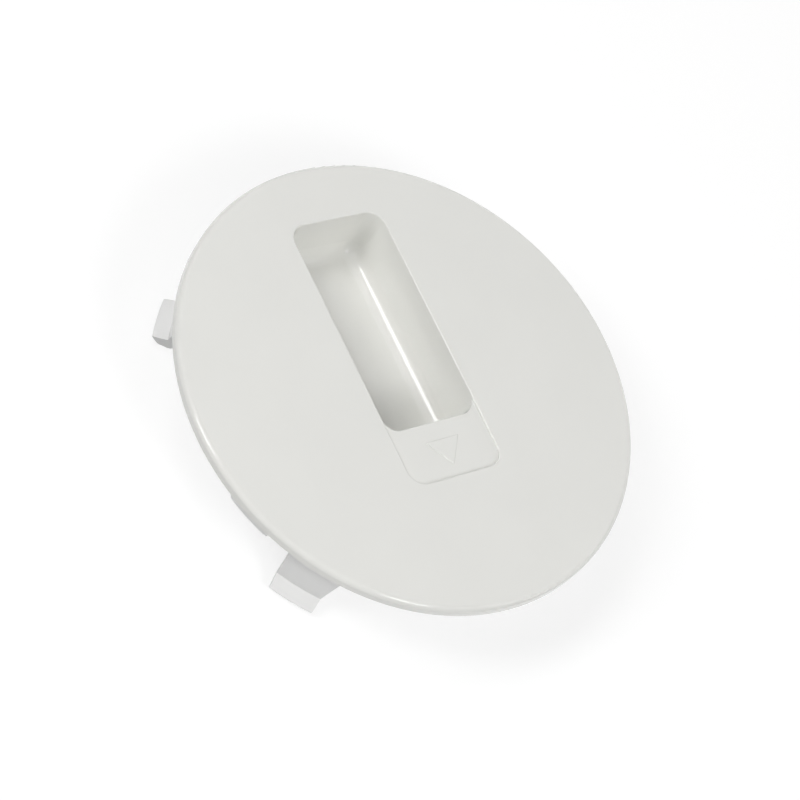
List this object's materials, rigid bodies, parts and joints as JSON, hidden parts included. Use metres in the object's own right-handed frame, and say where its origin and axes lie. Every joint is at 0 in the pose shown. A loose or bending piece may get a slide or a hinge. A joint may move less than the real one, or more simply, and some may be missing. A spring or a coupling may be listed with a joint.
{
  "type": "tumble dryer drain plug",
  "caption": "Round snap-in plug that closes a tumble dryer outlet: a white moulded disc with a finger pocket and thumb shelf in front, and snap hooks and locating tabs behind.",
  "frame": {"origin": "centre of the seat, the flat ring behind the rim that bears on the panel around the hole", "axes": "+Z out of the front face, +Y along the finger pocket towards its far end, so the thumb shelf lies towards -Y"},
  "size_m": [0.12, 0.12, 0.0215],
  "materials": {
    "white_plastic": "glossy white moulded plastic"
  },
  "bodies": {
    "root": {"drain_plug": "white_plastic"}
  },
  "joints": []
}
